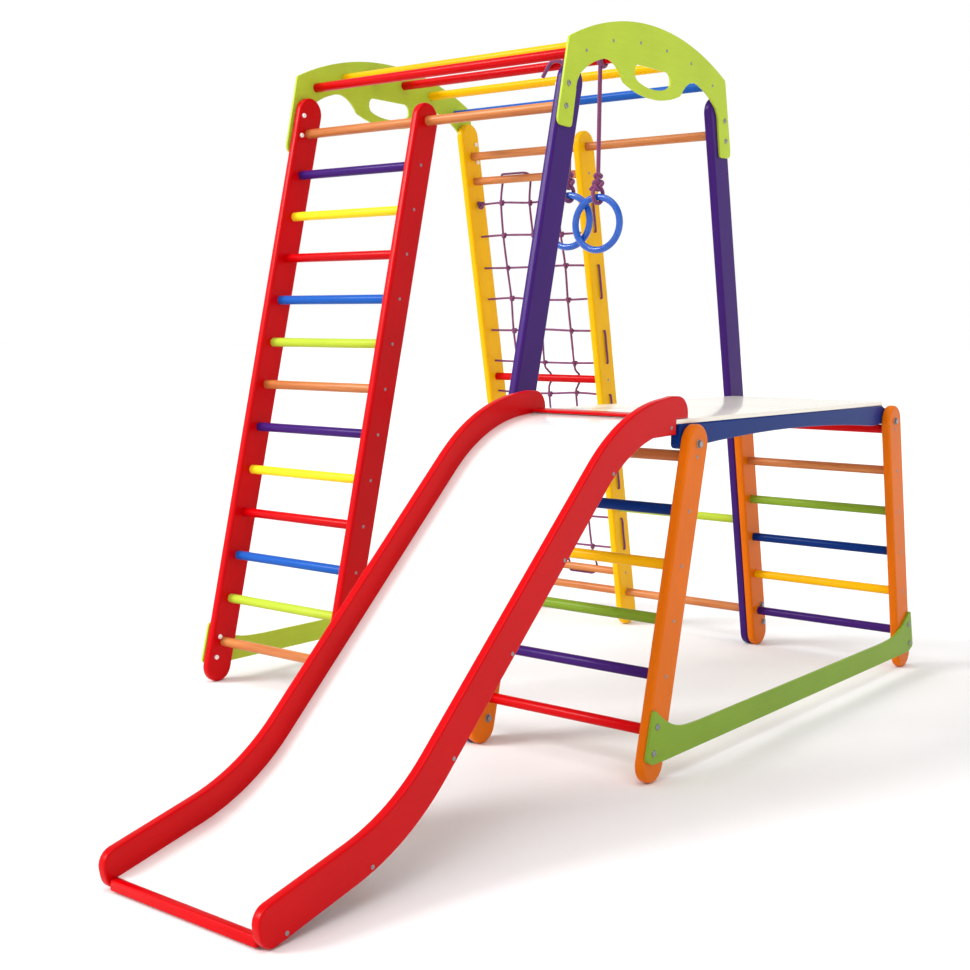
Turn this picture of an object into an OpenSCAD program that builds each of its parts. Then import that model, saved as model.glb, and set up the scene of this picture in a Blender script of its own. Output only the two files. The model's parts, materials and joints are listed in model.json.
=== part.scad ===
// Wooden climbing frame for toddlers with a curved slide, a bar roof on two arch panels,
// a rung ladder, a rope net and two hanging rings.
// X runs across the ladders, +Y is the back (the slide runs out towards -Y), +Z is up.

/* [Timber frame] */
// Spacing of the rungs along a ladder
pitch = 100; // [90:1:110]
// Thickness of a post, along X
post_t = 20; // [18:1:24]
// Width of a post
post_w = 72; // [60:1:80]
// Radius that rounds the long edges of a post
post_r = 6; // [2:0.5:8]
// Length of the tall posts between the centres of their round ends
tall_s = 1306; // [1250:1:1330]
// Length of the two middle posts between the centres of their round ends
middle_s = 1260; // [1240:1:1300]
// Lean of the front posts from upright
front_lean = 13.4; // [10:0.1:16]
// Lean of the back posts from upright
rear_lean = 11.6; // [9:0.1:15]
// Rung diameter
rung_d = 20.5; // [18:0.5:26]
// Diameter of the long rails between the frames
rail_d = 21.5; // [18:0.5:26]

/* [Roof of bars] */
// Thickness of the arch panels and the long stretchers
panel_t = 6; // [5:0.5:9]
// Diameter of the six roof bars
bar_d = 21.5; // [18:0.5:26]

/* [Platform] */
// Height of the platform's upper face
deck_z = 646; // [630:1:660]
// Thickness of the platform
deck_t = 9; // [8:0.5:12]
// Thickness of the aprons under the platform
apron_t = 20; // [16:1:24]

/* [Slide] */
// Thickness of the slide's cheeks
cheek_t = 16; // [12:1:20]
// Half of the cheeks' width
cheek_half = 31; // [28:0.5:34]
// Slope of the straight middle of the slide
slide_slope = 42.9; // [38:0.1:46]
// Thickness of the sliding surface
bed_t = 5; // [3:0.5:8]

/* [Rings and ropes] */
// Radius of a hanging ring at the middle of its tube
ring_r = 60; // [50:1:70]
// Tube diameter of a hanging ring
ring_d = 16; // [12:0.5:20]
// Diameter of the rope that holds a ring
rope_d = 10; // [6:0.5:10]
// Diameter of the net rope
net_d = 6; // [4:0.5:7]

/* [Hidden] */
$fn = 48;
tiny = 0.01;
fit = 0.05; // radial play of a rung in its bore
gap = 0.3; // free space between pieces of different bodies
// the frame's middle, which the whole part is moved by
mid_x = 570;
mid_y = -455.67;

// centre planes of the posts
x_left = 0;
x_right = 366;
x_purple = 740;
x_inner = x_purple + post_t;
x_outer = 1140;
end_r = post_w / 2;
front_y = -588; // centre of the front posts' lower ends
rear_y = 585; // centre of the back posts' lower ends
foot_cut = 0.6; // what is planed off each foot so that it stands flat

// the distance up a post at which its centre line reaches height z
function s_at(z, lean) = (z - end_r) / cos(lean);
bolt_z = deck_z - deck_t - end_r - 0.7;
front_short_s = s_at(bolt_z, front_lean);
rear_short_s = s_at(bolt_z, rear_lean);

// points on the leaning planes, at distance s along the post from its lower end's centre
function front_at(s) = [front_y + s * sin(front_lean), end_r + s * cos(front_lean)];
function rear_at(s) = [rear_y - s * sin(rear_lean), end_r + s * cos(rear_lean)];

// distances of the rungs along the posts
first_s = 56;
function rung_s(k) = first_s + k * pitch;
top_rail_s = rung_s(12);
net_top_s = 1190;
net_red_s = 652;
net_low_s = 112;
lime_s = 298;
bore_deep = 12;
ladder_ks = [for (k = [1:11]) rung_s(k)];
side_ks = [for (k = [0:5]) rung_s(k)];
side_screw_ks = [for (k = [1:5]) rung_s(k)]; // the lowest rung is held by glue, under the stretcher

// the net's rows
row_gap = 86;
row_count = 12;
function row_s(i) = 1127 - row_gap * i;
row_ss = [for (i = [0:row_count - 1]) row_s(i)];
hole_d = net_d + 0.6;

// the roof
arch_y = 16;
roof_bars = [[-265, 1372.5], [-164, 1407.7], [-55, 1419.6], [55, 1419.6], [164, 1407.7], [265, 1372.5]];
arch_right_x = x_purple + post_t / 2;
arch_left_x = x_left - post_t / 2 - panel_t;
arch_bolts = [for (side = [-1, 1], p = [[328, 1299], [336, 1253]]) [arch_y + side * p.x, p.y]];

// the stretchers near the floor
stretch_y = 0;
stretch_right_x = x_outer + post_t / 2;
stretch_bolts = [for (side = [-1, 1], p = [[588, 104], [599, 58]]) [stretch_y + side * p.x, p.y]];

// platform and aprons
deck_x = [x_purple + post_t / 2 + gap, x_outer - post_t / 2];
deck_y = [-500, 440];
bolt_y = [front_at(front_short_s).x, rear_at(rear_short_s).x];
front_foot_bolts = [front_at(14) + [8, -1]];
rear_foot_bolts = [stretch_bolts[2], stretch_bolts[3]];

// slide: its centre line is a foot slope, the straight middle and a top slope, blended by two arcs
foot_slope = 13;
top_slope = 5;
foot_p = [-1513, 31];
mid_p = [-1147, 188];
top_p = [-500, 657];
foot_bend_r = 395;
top_bend_r = 357;
cheek_xs = [798, x_outer - post_t / 2 - gap - cheek_t];
lane_x = [cheek_xs[0] + cheek_t, cheek_xs[1]];
bed_top = -12; // the sliding surface below the centre line
slat_w = 30;
slat_t = 9;
slat_d = bed_top - bed_t - slat_t / 2;

// rings: place along X, rope's Y, height of the tube's centre at the top of the ring
bar4 = [arch_y + roof_bars[3].x, roof_bars[3].y];
ring_at = [[588, 61, 1109], [495, 79, 1119]];
hinge_z = 1399.2;
knot_r = 13;
knot_up = 30; // the knot's centre above the tube's centre

// ---- shapes by formula ----
function unit(v) = v / norm(v);
function line_at(p, slope, y) = [y, p.y + tan(slope) * (y - p.x)];
function meet(p, a, q, b) =
  let (y = (q.y - p.y + tan(a) * p.x - tan(b) * q.x) / (tan(a) - tan(b))) line_at(p, a, y);

// centre of the circle through three points
function centre3(a, m, b) =
  let (d = 2 * (a.x * (m.y - b.y) + m.x * (b.y - a.y) + b.x * (a.y - m.y)))
  [(a * a * (m.y - b.y) + m * m * (b.y - a.y) + b * b * (a.y - m.y)) / d,
   (a * a * (b.x - m.x) + m * m * (a.x - b.x) + b * b * (m.x - a.x)) / d];
// n + 1 points of the arc from a through m to b
function arc3(a, m, b, n = 8) =
  let (c = centre3(a, m, b), r = norm(a - c), start = atan2(a.y - c.y, a.x - c.x),
       to_m = (atan2(m.y - c.y, m.x - c.x) - start + 360) % 360,
       to_b = (atan2(b.y - c.y, b.x - c.x) - start + 360) % 360,
       sweep = to_m < to_b ? to_b : to_b - 360)
  [for (i = [0:n]) c + r * [cos(start + sweep * i / n), sin(start + sweep * i / n)]];
// the mirror half of an outline, walked the other way
function mirrored(pts) = [for (i = [len(pts) - 1:-1:0]) [-pts[i].x, pts[i].y]];

// points [y, z, slope] down the middle of a bend that blends two slopes
function bend(corner, a, b, r, n) =
  let (t = r * tan(abs(b - a) / 2), start = corner - t * [cos(a), sin(a)],
       side = sign(b - a), c = start + side * r * [-sin(a), cos(a)])
  [for (i = [0:n]) let (s = a + (b - a) * i / n) [for (v = c + side * r * [sin(s), -cos(s)]) v, s]];
foot_corner = meet(foot_p, foot_slope, mid_p, slide_slope);
top_corner = meet(mid_p, slide_slope, top_p, top_slope);
function slide_line(from_y, to_y) = concat(
  [[for (v = line_at(foot_p, foot_slope, from_y)) v, foot_slope]],
  [for (v = bend(foot_corner, foot_slope, slide_slope, foot_bend_r, 12)) [v[0], v[1], v[2]]],
  [for (v = bend(top_corner, slide_slope, top_slope, top_bend_r, 14)) [v[0], v[1], v[2]]],
  [[for (v = line_at(top_p, top_slope, to_y)) v, top_slope]]);
// the line shifted square to itself by d
function shifted(line, d) = [for (v = line) [v[0] - d * sin(v[2]), v[1] + d * cos(v[2])]];
function reversed(p) = [for (i = [len(p) - 1:-1:0]) p[i]];

// a round tube along 3-D points, its cross-section carried without twist
function tangent(p, i) = unit(p[min(i + 1, len(p) - 1)] - p[max(i - 1, 0)]);
function square_to(n, t) = unit(n - (n * t) * t);
function normals(p, n0) =
  [for (i = 0, n = square_to(n0, tangent(p, 0)); i < len(p);
        i = i + 1, n = square_to(n, tangent(p, min(i, len(p) - 1)))) n];
module tube(p, r, sides = 8, n0 = [1, 0, 0], radii = undef) {
  ns = normals(p, n0);
  pts = [for (i = [0:len(p) - 1], j = [0:sides - 1])
    let (t = tangent(p, i), a = 360 * j / sides, q = radii == undef ? r : radii[i])
    p[i] + q * (cos(a) * ns[i] + sin(a) * cross(t, ns[i]))];
  last = (len(p) - 1) * sides;
  walls = [for (i = [0:len(p) - 2], j = [0:sides - 1])
    let (k = (j + 1) % sides, a = i * sides) [a + j, a + sides + j, a + sides + k, a + k]];
  polyhedron(pts, concat(walls, [[for (j = [0:sides - 1]) j]],
                         [[for (j = [sides - 1:-1:0]) last + j]]));
}

// ---- helpers ----
// everything is drawn about the frame's own corner and moved to the middle of its footprint
module placed() { translate([-mid_x, -mid_y, -foot_cut]) children(); }
// a pin or bore along X from x0 to x1 at p = [y, z]
module along_x(x0, x1, d, p, fn = 48) {
  translate([x0, p.x, p.y]) rotate([0, 90, 0]) cylinder(h = x1 - x0, d = d, $fn = fn);
}
// an outline given in [y, z], thickened along X
module plate(x0, t, pts) {
  translate([x0, 0, 0]) rotate([90, 0, 90]) linear_extrude(t) polygon(pts);
}
module in_front_plane(s = 0) {
  translate([0, front_at(s).x, front_at(s).y]) rotate([-front_lean, 0, 0]) children();
}
module in_rear_plane(s = 0) {
  translate([0, rear_at(s).x, rear_at(s).y]) rotate([rear_lean, 0, 0]) children();
}
// a screw or bolt hole along X through everything between x0 and x1
module hole_x(x0, x1, d, p) { along_x(x0 - tiny, x1 + tiny, d, p, 24); }

red = [0.80, 0.05, 0.08];
purple = [0.29, 0.16, 0.46];
yellow = [0.98, 0.74, 0.08];
orange = [0.90, 0.46, 0.03];
blue = [0.10, 0.33, 0.75];
navy = [0.03, 0.20, 0.52];
lime = [0.73, 0.83, 0.25];
leaf = [0.52, 0.65, 0.20];
pine = [0.87, 0.60, 0.36];
cream = [0.95, 0.92, 0.85];
white = [0.96, 0.96, 0.96];
rope = [0.55, 0.26, 0.48];
steel = [0.75, 0.76, 0.78];

// ---- posts ----
// half of a post's cross-section, [across the width, through the thickness], rounded at the edge
edge_x = end_r - post_r;
edge_y = post_t / 2 - post_r;
half_section = concat([[0, -post_t / 2]],
  [for (a = [-90:15:90]) [edge_x, a < 0 ? -edge_y : edge_y] + post_r * [cos(a), sin(a)]],
  [[0, post_t / 2]]);
module post_end() { rotate([0, 90, 0]) rotate([0, 0, -90]) rotate_extrude(angle = 180) polygon(half_section); }
module post_blank(len) {
  linear_extrude(len) rotate(90) union() {
    polygon(half_section);
    mirror([1, 0, 0]) polygon(half_section);
  }
  post_end();
  translate([0, 0, len]) rotate([180, 0, 0]) post_end();
}
// a post on its plane with its foot planed flat
module post_on_front(x, len) {
  difference() {
    translate([x, 0, 0]) in_front_plane() post_blank(len);
    translate([x - post_t, front_y - post_w, foot_cut - post_w]) cube([2 * post_t, 2 * post_w, post_w]);
  }
}
module post_on_rear(x, len) {
  difference() {
    translate([x, 0, 0]) in_rear_plane() post_blank(len);
    translate([x - post_t, rear_y - post_w, foot_cut - post_w]) cube([2 * post_t, 2 * post_w, post_w]);
  }
}
screw_d = 4;
screw_hole = screw_d + 2 * fit;
// blind bores for rungs: they open on the face at x and go in by bore_deep towards side
module rung_bores(x, side, ss, front, d = rung_d) {
  for (s = ss)
    let (p = front ? front_at(s) : rear_at(s), x1 = x + side * bore_deep)
      along_x(min(x - side * tiny, x1), max(x - side * tiny, x1), d + 2 * fit, p);
}
module rung_screw_holes(x, ss, front) {
  for (s = ss) hole_x(x - post_t / 2, x + post_t / 2, screw_hole, front ? front_at(s) : rear_at(s));
}
module through_rail(x, s, front) {
  along_x(x - post_t, x + post_t, rail_d + 2 * fit, front ? front_at(s) : rear_at(s));
}
bolt_d = 6;
pivot_d = 8;
module bolt_holes(x, ps, d = bolt_d) {
  for (p = ps) hole_x(x - post_t / 2, x + post_t / 2, d + 2 * fit, p);
}
module net_holes(x) { for (s = row_ss) hole_x(x - post_t / 2, x + post_t / 2, hole_d, rear_at(s)); }
front_arch_bolts = [arch_bolts[0], arch_bolts[1]];
rear_arch_bolts = [arch_bolts[2], arch_bolts[3]];
front_stretch_bolts = [stretch_bolts[0], stretch_bolts[1]];
rear_stretch_bolts = [stretch_bolts[2], stretch_bolts[3]];
front_pivot = [bolt_y[0], bolt_z];
rear_pivot = [bolt_y[1], bolt_z];

module red_post_left() color(red) placed() difference() {
  post_on_front(x_left, tall_s);
  rung_bores(post_t / 2, -1, ladder_ks, true);
  rung_bores(post_t / 2, -1, [first_s, top_rail_s], true, rail_d);
  rung_screw_holes(x_left, concat(ladder_ks, [top_rail_s]), true);
  bolt_holes(x_left, concat(front_arch_bolts, front_stretch_bolts));
}
module red_post_right() color(red) placed() difference() {
  post_on_front(x_right, middle_s);
  rung_bores(x_right - post_t / 2, 1, ladder_ks, true);
  rung_screw_holes(x_right, ladder_ks, true);
  through_rail(x_right, first_s, true);
  through_rail(x_right, top_rail_s, true);
}
module purple_post_front() color(purple) placed() difference() {
  post_on_front(x_purple, tall_s);
  rung_bores(x_purple - post_t / 2, 1, [first_s, top_rail_s], true, rail_d);
  bolt_holes(x_purple, concat(front_arch_bolts, front_foot_bolts));
  bolt_holes(x_purple, [front_pivot], pivot_d);
}
module purple_post_rear() color(purple) placed() difference() {
  post_on_rear(x_purple, tall_s);
  rung_bores(x_purple - post_t / 2, 1, [first_s, top_rail_s], false, rail_d);
  rung_bores(x_purple - post_t / 2, 1, [lime_s], false);
  bolt_holes(x_purple, concat(rear_arch_bolts, rear_foot_bolts));
  bolt_holes(x_purple, [rear_pivot], pivot_d);
}
module yellow_post_left() color(yellow) placed() difference() {
  post_on_rear(x_left, tall_s);
  rung_bores(post_t / 2, -1, [net_top_s, net_red_s, net_low_s], false);
  rung_bores(post_t / 2, -1, [first_s, top_rail_s], false, rail_d);
  rung_screw_holes(x_left, [net_top_s, net_red_s, net_low_s, top_rail_s], false);
  bolt_holes(x_left, concat(rear_arch_bolts, rear_stretch_bolts));
  net_holes(x_left);
}
module yellow_post_right() color(yellow) placed() difference() {
  post_on_rear(x_right, middle_s);
  rung_bores(x_right - post_t / 2, 1, [net_top_s, net_red_s, net_low_s], false);
  rung_screw_holes(x_right, [net_top_s, net_red_s, net_low_s], false);
  rung_bores(x_right + post_t / 2, -1, [lime_s], false);
  through_rail(x_right, first_s, false);
  through_rail(x_right, top_rail_s, false);
  net_holes(x_right);
}
module orange_post_front_inner() color(orange) placed() difference() {
  post_on_front(x_inner, front_short_s);
  rung_bores(x_inner + post_t / 2, -1, side_ks, true);
  bolt_holes(x_inner, front_foot_bolts);
  bolt_holes(x_inner, [front_pivot], pivot_d);
}
module orange_post_front_outer() color(orange) placed() difference() {
  post_on_front(x_outer, front_short_s);
  rung_bores(x_outer - post_t / 2, 1, side_ks, true);
  rung_screw_holes(x_outer, side_screw_ks, true);
  bolt_holes(x_outer, front_stretch_bolts);
  bolt_holes(x_outer, [front_pivot], pivot_d);
}
module orange_post_rear_inner() color(orange) placed() difference() {
  post_on_rear(x_inner, rear_short_s);
  rung_bores(x_inner + post_t / 2, -1, side_ks, false);
  bolt_holes(x_inner, rear_foot_bolts);
  bolt_holes(x_inner, [rear_pivot], pivot_d);
}
module orange_post_rear_outer() color(orange) placed() difference() {
  post_on_rear(x_outer, rear_short_s);
  rung_bores(x_outer - post_t / 2, 1, side_ks, false);
  rung_screw_holes(x_outer, side_screw_ks, false);
  bolt_holes(x_outer, rear_stretch_bolts);
  bolt_holes(x_outer, [rear_pivot], pivot_d);
}

// ---- roof ----
half_arch = concat(
  arc3([0, 1464], [169, 1445.6], [325, 1393], 16),
  [[328, 1388], [362, 1232]],
  arc3([362, 1228], [359, 1218], [350, 1214], 3),
  arc3([324, 1213], [315, 1215], [312, 1223], 3),
  arc3([300, 1287], [297, 1305], [289, 1318], 4),
  arc3([286, 1323], [252, 1346], [212, 1362], 7),
  arc3([208, 1363.2], [180, 1367.6], [156, 1361], 7),
  arc3([153, 1359.6], [138, 1349.5], [126, 1337], 5),
  arc3([124, 1334.6], [118, 1329.5], [110, 1326.3], 4),
  arc3([107, 1325.3], [56, 1312.5], [0, 1308.5], 7));
half_handle = concat(
  [[0, 1374]], arc3([60, 1374], [72, 1369], [76, 1356], 4),
  arc3([76, 1354], [73, 1345], [65, 1340], 4), arc3([62, 1338], [32, 1331], [0, 1329], 4));
module arch_panel(x0, screws = []) {
  difference() {
    translate([0, arch_y, 0]) plate(x0, panel_t, concat(half_arch, mirrored(half_arch)));
    translate([0, arch_y, 0]) plate(x0 - 1, panel_t + 2, concat(half_handle, mirrored(half_handle)));
    for (p = arch_bolts) hole_x(x0, x0 + panel_t, bolt_d + 2 * fit, p);
    for (b = roof_bars) hole_x(x0, x0 + panel_t, screw_hole, [arch_y + b.x, b.y]);
    for (p = screws) hole_x(x0, x0 + panel_t, screw_hole, p);
  }
}
// the top rails' screws go in through the left panel
top_rail_ends = [front_at(top_rail_s), rear_at(top_rail_s)];
module arch_panel_left() color(lime) placed() arch_panel(arch_left_x, top_rail_ends);
module arch_panel_right() color(lime) placed() arch_panel(arch_right_x);
screw_deep = 22; // how far a screw goes into the end of a rung or bar
module pilot(x, side, p) {
  x1 = x + side * screw_deep;
  hole_x(min(x, x1), max(x, x1), screw_hole, p);
}
module roof_bar(i) {
  p = [arch_y + roof_bars[i].x, roof_bars[i].y];
  x0 = arch_left_x + panel_t;
  difference() {
    along_x(x0, arch_right_x, bar_d, p);
    pilot(x0, 1, p);
    pilot(arch_right_x, -1, p);
  }
}
module arch_bars_red() color(red) placed() for (i = [0, 3]) roof_bar(i);
module arch_bars_yellow() color(yellow) placed() for (i = [1, 4]) roof_bar(i);
module arch_bars_blue() color(blue) placed() for (i = [2, 5]) roof_bar(i);

// ---- rungs and rails ----
end_play = 0.2;
module rung(x0, x1, s, front, d = rung_d, screws = [true, true]) {
  p = front ? front_at(s) : rear_at(s);
  a = x0 - bore_deep + end_play;
  b = x1 + bore_deep - end_play;
  difference() {
    along_x(a, b, d, p);
    if (screws[0]) pilot(a, 1, p);
    if (screws[1]) pilot(b, -1, p);
  }
}
left_in = x_left + post_t / 2;
right_in = x_right - post_t / 2;
purple_in = x_purple - post_t / 2;
side_in = x_inner + post_t / 2;
side_out = x_outer - post_t / 2;
module front_rung(k) { rung(left_in, right_in, rung_s(k), true); }
module front_top_rail() color(pine) placed() rung(left_in, purple_in, top_rail_s, true, rail_d, [true, false]);
module front_bottom_rail() color(pine) placed() rung(left_in, purple_in, first_s, true, rail_d, [false, false]);
module rear_top_rail() color(pine) placed() rung(left_in, purple_in, top_rail_s, false, rail_d, [true, false]);
module rear_bottom_rail() color(pine) placed() rung(left_in, purple_in, first_s, false, rail_d, [false, false]);
module ladder_rungs_purple() color(purple) placed() for (k = [11, 5]) front_rung(k);
module ladder_rungs_yellow() color(yellow) placed() for (k = [10, 4]) front_rung(k);
module ladder_rungs_red() color(red) placed() for (k = [9, 3]) front_rung(k);
module ladder_rungs_blue() color(blue) placed() for (k = [8, 2]) front_rung(k);
module ladder_rungs_lime() color(lime) placed() for (k = [7, 1]) front_rung(k);
module ladder_rung_natural() color(pine) placed() front_rung(6);
module net_rungs_natural() color(pine) placed()
  for (s = [net_top_s, net_low_s]) rung(left_in, right_in, s, false);
module net_red_rung() color(red) placed() rung(left_in, right_in, net_red_s, false);
module rear_lime_rung() color(lime) placed()
  rung(x_right + post_t / 2, purple_in, lime_s, false, rung_d, [false, false]);
module side_rung(k, front) { rung(side_in, side_out, rung_s(k), front, rung_d, [false, k > 0]); }
module side_rungs_natural() color(pine) placed() { side_rung(5, true); side_rung(4, false); }
module side_rungs_blue() color(navy) placed() { side_rung(4, true); side_rung(2, false); }
module side_rungs_yellow() color(yellow) placed() { side_rung(3, true); side_rung(1, false); }
module side_rungs_green() color(leaf) placed() { side_rung(2, true); side_rung(3, false); }
module side_rungs_purple() color(purple) placed() { side_rung(1, true); side_rung(0, false); }
module side_rungs_red() color(red) placed() { side_rung(0, true); side_rung(5, false); }

// ---- stretchers, platform, aprons ----
half_stretch = concat(
  [[0, 84], [430, 84]], arc3([480, 86], [545, 103], [584, 128], 6),
  arc3([592, 133], [599, 134], [603, 128], 3), arc3([622, 52], [619, 46], [612, 43], 3),
  arc3([600, 37], [560, 36], [520, 36], 3), [[0, 36]]);
module stretcher(x0) {
  difference() {
    translate([0, stretch_y, 0]) plate(x0, panel_t, concat(half_stretch, mirrored(half_stretch)));
    for (p = stretch_bolts) hole_x(x0, x0 + panel_t, bolt_d + 2 * fit, p);
  }
}
module stretcher_left() color(leaf) placed() stretcher(arch_left_x);
module stretcher_right() color(leaf) placed() stretcher(stretch_right_x);
module platform_top() color(cream) placed()
  translate([deck_x[0], deck_y[0], deck_z - deck_t])
    cube([deck_x[1] - deck_x[0], deck_y[1] - deck_y[0], deck_t]);
apron_top = deck_z - deck_t;
apron_outline = concat(
  [[-488, apron_top], [deck_y[1], apron_top]],
  arc3([455, 630], [480, 625], [496, 606], 5),
  [[496, 594.5], [430, 594]],
  arc3([390, 592], [0, 607], [-390, 596], 14),
  arc3([-440, 590.5], [-462, 590.5], [-476, 591], 3),
  arc3([-482, 592], [-486, 595], [-488, 600], 3));
module apron(x0) {
  difference() {
    plate(x0, apron_t, apron_outline);
    for (p = [front_pivot, rear_pivot]) hole_x(x0, x0 + apron_t, pivot_d + 2 * fit, p);
  }
}
module apron_inner() color(navy) placed() apron(x_inner + post_t / 2);
module apron_outer() color(navy) placed() apron(x_outer - post_t / 2 - apron_t);

// ---- slide ----
foot_tip = -1502;
cheek_line = slide_line(foot_tip, -530);
toe_r = 25;
toe_c = line_at(foot_p, foot_slope, foot_tip - 5);
toe_off = (cheek_half - toe_r) * [-sin(foot_slope), cos(foot_slope)];
cheek_top = shifted(cheek_line, cheek_half);
cheek_low = shifted([for (v = cheek_line) if (v[0] < -575) v], -cheek_half);
ear_y = -458;
notch_y = deck_y[0] - gap;
rest_z = deck_z + gap;
function toe_arc(c, a0, a1) = [for (i = [0:6]) let (a = a0 + (a1 - a0) * i / 6) c + toe_r * [cos(a), sin(a)]];
cheek_outline = concat(
  cheek_top,
  [[-512, 688]], arc3([-492, 687.5], [-469, 679], [ear_y, 658], 7),
  [[ear_y, rest_z], [notch_y, rest_z], [notch_y, 618]],
  reversed(cheek_low),
  toe_arc(toe_c - toe_off, -90 + foot_slope, -180 + foot_slope),
  toe_arc(toe_c + toe_off, 180 + foot_slope, 90 + foot_slope));
bed_line = slide_line(foot_tip - 11, -506);
lane_w = lane_x[1] - lane_x[0];
slat_ys = [-1488, -1322, -1150, -1006, -866, -722, -520];
function slide_slope_at(y) =
  let (line = slide_line(-1600, -400), i = max([for (j = [0:len(line) - 2]) line[j][0] <= y ? j : 0]),
       a = line[i], b = line[i + 1], f = (y - a[0]) / (b[0] - a[0]))
  [y, a[1] + (b[1] - a[1]) * f, a[2] + (b[2] - a[2]) * f];
slat_at = [for (y = slat_ys) slide_slope_at(y)];
slide_screw_d = 5;
// each slat lies just clear of the bed, and the top one a little lower, where the bed bends over it
function slat_centre(v) = shifted([v], slat_d - (v.x > -600 ? 2.6 : 0.9))[0];
module cheek(x0) {
  difference() {
    plate(x0, cheek_t, cheek_outline);
    translate([x0 - 1, foot_p.x - 200, foot_cut - 50]) cube([cheek_t + 2, 400, 50]);
    for (v = slat_at) hole_x(x0, x0 + cheek_t, slide_screw_d + 2 * fit, slat_centre(v));
  }
}
module slide_cheek_left() color(red) placed() cheek(cheek_xs[0]);
module slide_cheek_right() color(red) placed() cheek(cheek_xs[1]);
module slide_bed() color(white) placed()
  plate(lane_x[0], lane_w, concat(shifted(bed_line, bed_top), reversed(shifted(bed_line, bed_top - bed_t))));
module slide_slats() color(pine) placed() difference() {
  for (v = slat_at)
    translate([lane_x[0], slat_centre(v).x, slat_centre(v).y]) rotate([v[2], 0, 0])
      translate([0, -slat_w / 2, -slat_t / 2]) cube([lane_w, slat_w, slat_t]);
  for (v = slat_at, end = [[lane_x[0], 1], [lane_x[1], -1]])
    let (x1 = end[0] + end[1] * screw_deep)
      hole_x(min(end[0], x1), max(end[0], x1), slide_screw_d + 2 * fit, slat_centre(v));
}
module slide_landing_board() color(red) placed()
  translate([lane_x[0], -508, rest_z]) cube([lane_w, 52, 5.7]);
module slide_foot_board() color(red) placed()
  translate([lane_x[0], foot_tip - 23, 3]) cube([lane_w, 14, 17]);

// ---- ropes, rings and net ----
hitch_r = bar_d / 2 + 0.2 + rope_d / 2;
module hitch(x) {
  for (side = [-1, 1])
    translate([x + side * (rope_d / 2 + 0.15), bar4.x, bar4.y]) rotate([0, 90, 0])
      rotate_extrude() translate([hitch_r, 0]) circle(d = rope_d, $fn = 24);
}
tail = [[486, 53, 1423], [478, 50, 1426], [468, 50, 1427], [457, 52, 1424], [447, 54, 1414], [438, 56, 1403],
        [431, 57, 1394]];
module rope_hitches() color(rope) placed() {
  for (r = ring_at) hitch(r.x);
  tube(tail, rope_d / 2 - 0.5, 8, [0, 1, 0]);
}
// the rope of ring i: straight down from the hinge under the hitch to its knot
rope_ends = [for (r = ring_at) [hinge_z, r[2] + knot_up + knot_r - 3]];
rope_rings = 16;
function rope_path(i) = let (z = rope_ends[i])
  [for (j = [0:rope_rings - 1]) [ring_at[i].x, ring_at[i][1], z[0] + (z[1] - z[0]) * j / (rope_rings - 1)]];
module ring_rope(i) { tube(rope_path(i), rope_d / 2, 12, [1, 0, 0]); }
module ring_rope_front() color(rope) placed() ring_rope(0);
module ring_rope_rear() color(rope) placed() ring_rope(1);
// knot above the ring and the loop that goes round the ring's tube
loop_r = ring_d / 2 + 0.6 + rope_d / 2;
module ring_knot(i) {
  translate([ring_at[i].x, ring_at[i][1], ring_at[i][2]]) {
    translate([0, 0, knot_up]) sphere(r = knot_r);
    tube(concat([[0, -4, knot_up - 2], [0, -9, knot_up - 12]],
                [for (a = [180:22.5:360]) [0, loop_r * cos(a), loop_r * sin(a)]],
                [[0, 9, knot_up - 12], [0, 4, knot_up - 2]]), rope_d / 2, 10, [1, 0, 0]);
  }
}
module ring_knot_front() color(rope) placed() ring_knot(0);
module ring_knot_rear() color(rope) placed() ring_knot(1);
module ring(i) {
  translate([ring_at[i].x, ring_at[i][1], ring_at[i][2] - ring_r]) rotate([90, 0, 0])
    rotate_extrude($fn = 96) translate([ring_r, 0]) circle(d = ring_d, $fn = 32);
}
module ring_front() color(blue) placed() ring(0);
module ring_rear() color(blue) placed() ring(1);

// the net: one rope laced to and fro through the holes of the yellow posts
rope_clear = 1; // keeps the lacing off the screw heads on the posts
row_x = [x_left - post_t / 2 - net_d / 2 - rope_clear, x_right + post_t / 2 + net_d / 2 + rope_clear];
function on_rear(x, s, out = 0) = [x, rear_at(s).x + out * cos(rear_lean), rear_at(s).y + out * sin(rear_lean)];
corner = 3;
function lace(i) = // row i, then the run to the next row on the outside of a post
  let (right = i % 2 == 0, a = right ? row_x[0] : row_x[1], b = right ? row_x[1] : row_x[0],
       d = right ? corner : -corner, s = row_s(i), last = i == row_count - 1)
  [on_rear(i == 0 ? left_in + 2 : a + d, s), on_rear(last ? b : b - d, s),
   if (!last) on_rear(b - d * 0.3, s - corner * 0.3), if (!last) on_rear(b, s - corner),
   if (!last) on_rear(b, s - row_gap + corner), if (!last) on_rear(b - d * 0.3, s - row_gap + corner * 0.3)];
module net_rows() color(rope) placed()
  tube([for (i = [0:row_count - 1]) for (v = lace(i)) v], net_d / 2, 8, [0, 1, 0]);
strand_x = [92, 184, 276];
weave = -net_d - 0.2; // the strands lie just in front of the rows
over = rung_d / 2 + net_d / 2 + 0.3; // a rope's centre line off a rung's centre
half_over = 10.7; // the same rope at 45 degrees round the rung
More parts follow.
